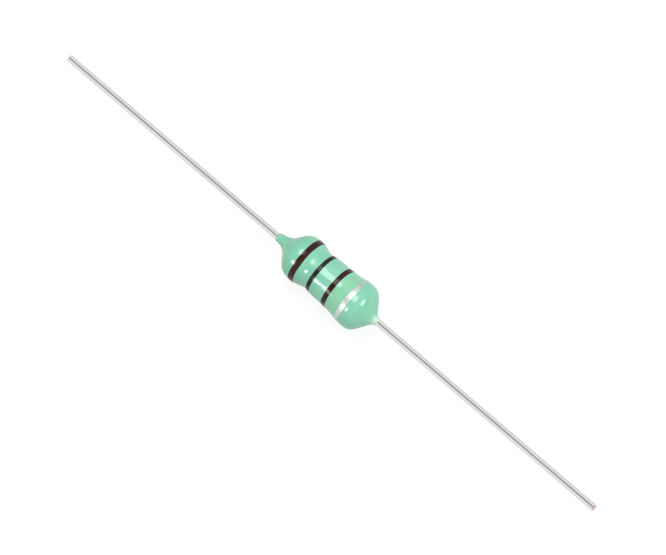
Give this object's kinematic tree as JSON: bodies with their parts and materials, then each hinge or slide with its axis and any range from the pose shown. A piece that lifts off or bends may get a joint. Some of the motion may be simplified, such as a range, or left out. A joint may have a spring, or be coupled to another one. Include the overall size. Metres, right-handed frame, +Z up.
{
  "type": "axial inductor",
  "caption": "Conformal-coated axial inductor: a dog-bone epoxy body with colour bands between two straight tinned wire leads.",
  "frame": {"origin": "on the axis, halfway between the cut ends of the two leads, inside the body", "axes": "+X along the axis, towards the lead beside the tolerance band; +Z up; the wire ends cross the drum's flanges on the +Z side"},
  "size_m": [0.057, 0.0042, 0.0042],
  "materials": {
    "ferrite": "matte",
    "enamelled_copper": "glossy",
    "tinned_copper": "satin",
    "adhesive": "glossy",
    "solder": "satin",
    "green_epoxy": "glossy",
    "brown_ink": "glossy",
    "black_ink": "glossy",
    "silver_ink": "glossy"
  },
  "bodies": {
    "root": {"ferrite_drum_core": "ferrite", "enamelled_copper_winding": "enamelled_copper", "lead_wire_left": "tinned_copper", "lead_wire_right": "tinned_copper", "lead_adhesive_left": "adhesive", "lead_adhesive_right": "adhesive", "solder_joint_left": "solder", "solder_joint_right": "solder", "epoxy_coat": "green_epoxy", "band_first_digit_brown": "brown_ink", "band_second_digit_black": "black_ink", "band_multiplier_brown": "brown_ink", "band_tolerance_silver": "silver_ink"}
  },
  "joints": []
}
